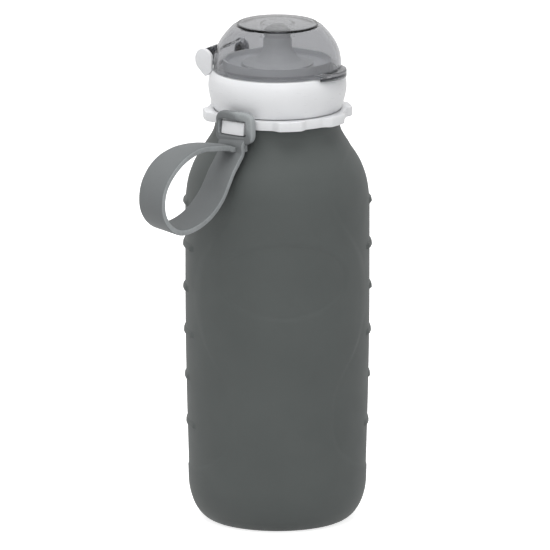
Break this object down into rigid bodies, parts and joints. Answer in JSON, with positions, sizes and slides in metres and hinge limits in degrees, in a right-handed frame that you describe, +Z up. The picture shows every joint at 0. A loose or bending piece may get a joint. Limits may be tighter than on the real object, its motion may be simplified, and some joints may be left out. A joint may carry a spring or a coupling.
{
  "type": "silicone squeeze bottle",
  "caption": "Soft silicone squeeze bottle with a screw cap, drinking spout under a hinged see-through dome lid, and a loop strap.",
  "frame": {"origin": "middle of the flat base, on the axis of the body and the cap", "axes": "+Z up along the bottle, -Y through the plain oval field at the front, +X to its right"},
  "size_m": [0.0947, 0.0986, 0.1978],
  "materials": {
    "body_silicone": "matt grey moulded silicone, satin at grazing light",
    "insert_plastic": "white moulded plastic",
    "ring_plastic": "white moulded plastic, soft gloss",
    "cap_plastic": "white moulded plastic, soft gloss",
    "seal_silicone": "pale soft silicone",
    "spout_silicone": "milky soft silicone",
    "valve_silicone": "pale translucent silicone",
    "lid_plastic": "clear smoke-grey plastic, polished",
    "strap_silicone": "grey moulded silicone"
  },
  "bodies": {
    "bottle": {"bottle_body": "body_silicone", "neck_insert": "insert_plastic", "gear_ring": "ring_plastic"},
    "seal": {"cap_gasket": "seal_silicone"},
    "cap": {"cap_shell": "cap_plastic", "spout": "spout_silicone", "spill_valve": "valve_silicone"},
    "lid": {"dome_lid": "lid_plastic"},
    "strap": {"carry_strap": "strap_silicone"}
  },
  "joints": [
    {"name": "cap_lift", "type": "slide", "parent": "bottle", "child": "seal", "axis": [0, 0, 1], "range_m": [0, 0.0181]},
    {"name": "cap_turn", "type": "hinge", "parent": "seal", "child": "cap", "pos_m": [0, 0, 0.165], "axis": [0, 0, 1], "range_deg": [0, 1620]},
    {"name": "lid_hinge", "type": "hinge", "parent": "cap", "child": "lid", "pos_m": [-0.02106, 0.0142, 0.1832], "axis": [-0.5592, -0.829, 0], "range_deg": [0, 150]},
    {"name": "strap_swing", "type": "hinge", "parent": "bottle", "child": "strap", "pos_m": [-0.01778, -0.02195, 0.16135], "axis": [-0.7771, 0.6293, 0], "range_deg": [0, 8], "stiffness_Nm_per_rad": 0.05}
  ],
  "couplings": [
    {"joint": "cap_lift", "follows": "cap_turn", "m_per_rad": 0.00063662}
  ]
}
